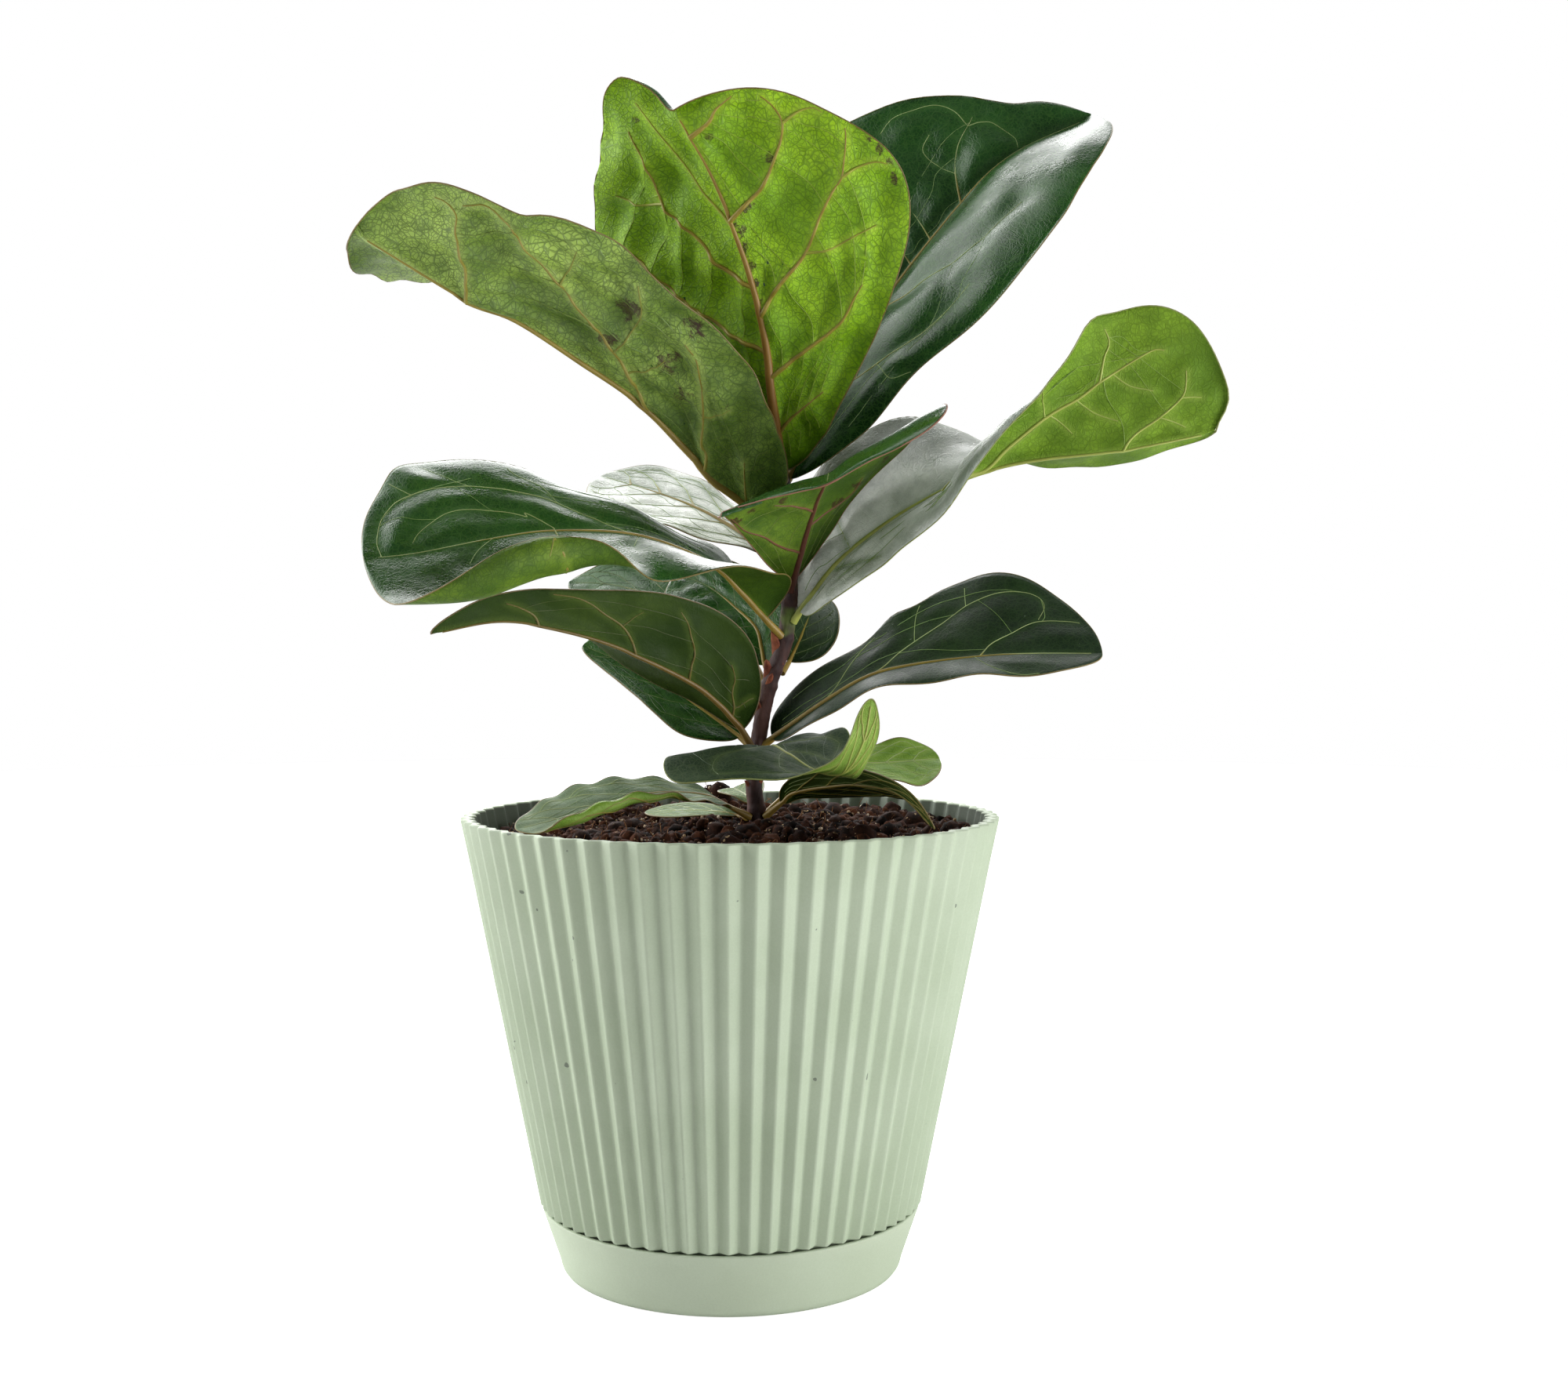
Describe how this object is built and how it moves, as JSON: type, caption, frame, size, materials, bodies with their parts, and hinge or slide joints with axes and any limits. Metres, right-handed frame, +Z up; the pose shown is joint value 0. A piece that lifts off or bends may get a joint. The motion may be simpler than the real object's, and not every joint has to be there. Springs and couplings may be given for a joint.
{
  "type": "potted fiddle leaf fig",
  "caption": "Young fiddle leaf fig with large, waved, veined leaves on one stem, standing in a pleated tapered pot on its saucer.",
  "frame": {"origin": "centre of the saucer's underside, on the pot's axis, at the surface that the object stands on", "axes": "+Z up along the pot's axis; the viewer of the picture looks along +Y, with +X to the right"},
  "size_m": [0.2859, 0.1912, 0.4273],
  "materials": {
    "pot": "matte, pale sage green",
    "saucer": "matte, pale sage green",
    "soil": "crumbly, moist potting mix",
    "stem": "dull, woody, purple-brown",
    "leaf_crown_upright": "satin, lime green",
    "leaf_upper_left": "satin, mid green",
    "leaf_upper_right": "glossy, dark green",
    "leaf_front_arched": "satin, lime green",
    "leaf_right_turned": "glossy above, lime green below",
    "leaf_left_glossy": "glossy, dark green",
    "leaf_left_rear": "glossy, dark green",
    "leaf_left_olive": "satin, olive green",
    "leaf_left_shaded": "glossy, dark green",
    "leaf_inner_left": "glossy, dark green",
    "leaf_inner_rear": "glossy, dark green",
    "leaf_right_lower": "glossy, dark green",
    "leaf_inner_right": "glossy, dark green",
    "leaf_front_low": "glossy, dark grey-green",
    "leaf_low_right_lime": "satin, lime green",
    "leaf_low_right_arched": "satin, olive green",
    "leaf_low_left": "glossy, grey-green",
    "leaf_soil_left": "satin, pale grey-green",
    "leaf_soil_rear": "satin, pale green"
  },
  "bodies": {
    "root": {"pot": "pot", "saucer": "saucer", "soil": "soil", "stem": "stem", "leaf_crown_upright": "leaf_crown_upright", "leaf_upper_left": "leaf_upper_left", "leaf_upper_right": "leaf_upper_right", "leaf_front_arched": "leaf_front_arched", "leaf_right_turned": "leaf_right_turned", "leaf_left_glossy": "leaf_left_glossy", "leaf_left_rear": "leaf_left_rear", "leaf_left_olive": "leaf_left_olive", "leaf_left_shaded": "leaf_left_shaded", "leaf_inner_left": "leaf_inner_left", "leaf_inner_rear": "leaf_inner_rear", "leaf_right_lower": "leaf_right_lower", "leaf_inner_right": "leaf_inner_right", "leaf_front_low": "leaf_front_low", "leaf_low_right_lime": "leaf_low_right_lime", "leaf_low_right_arched": "leaf_low_right_arched", "leaf_low_left": "leaf_low_left", "leaf_soil_left": "leaf_soil_left", "leaf_soil_rear": "leaf_soil_rear"}
  },
  "joints": []
}
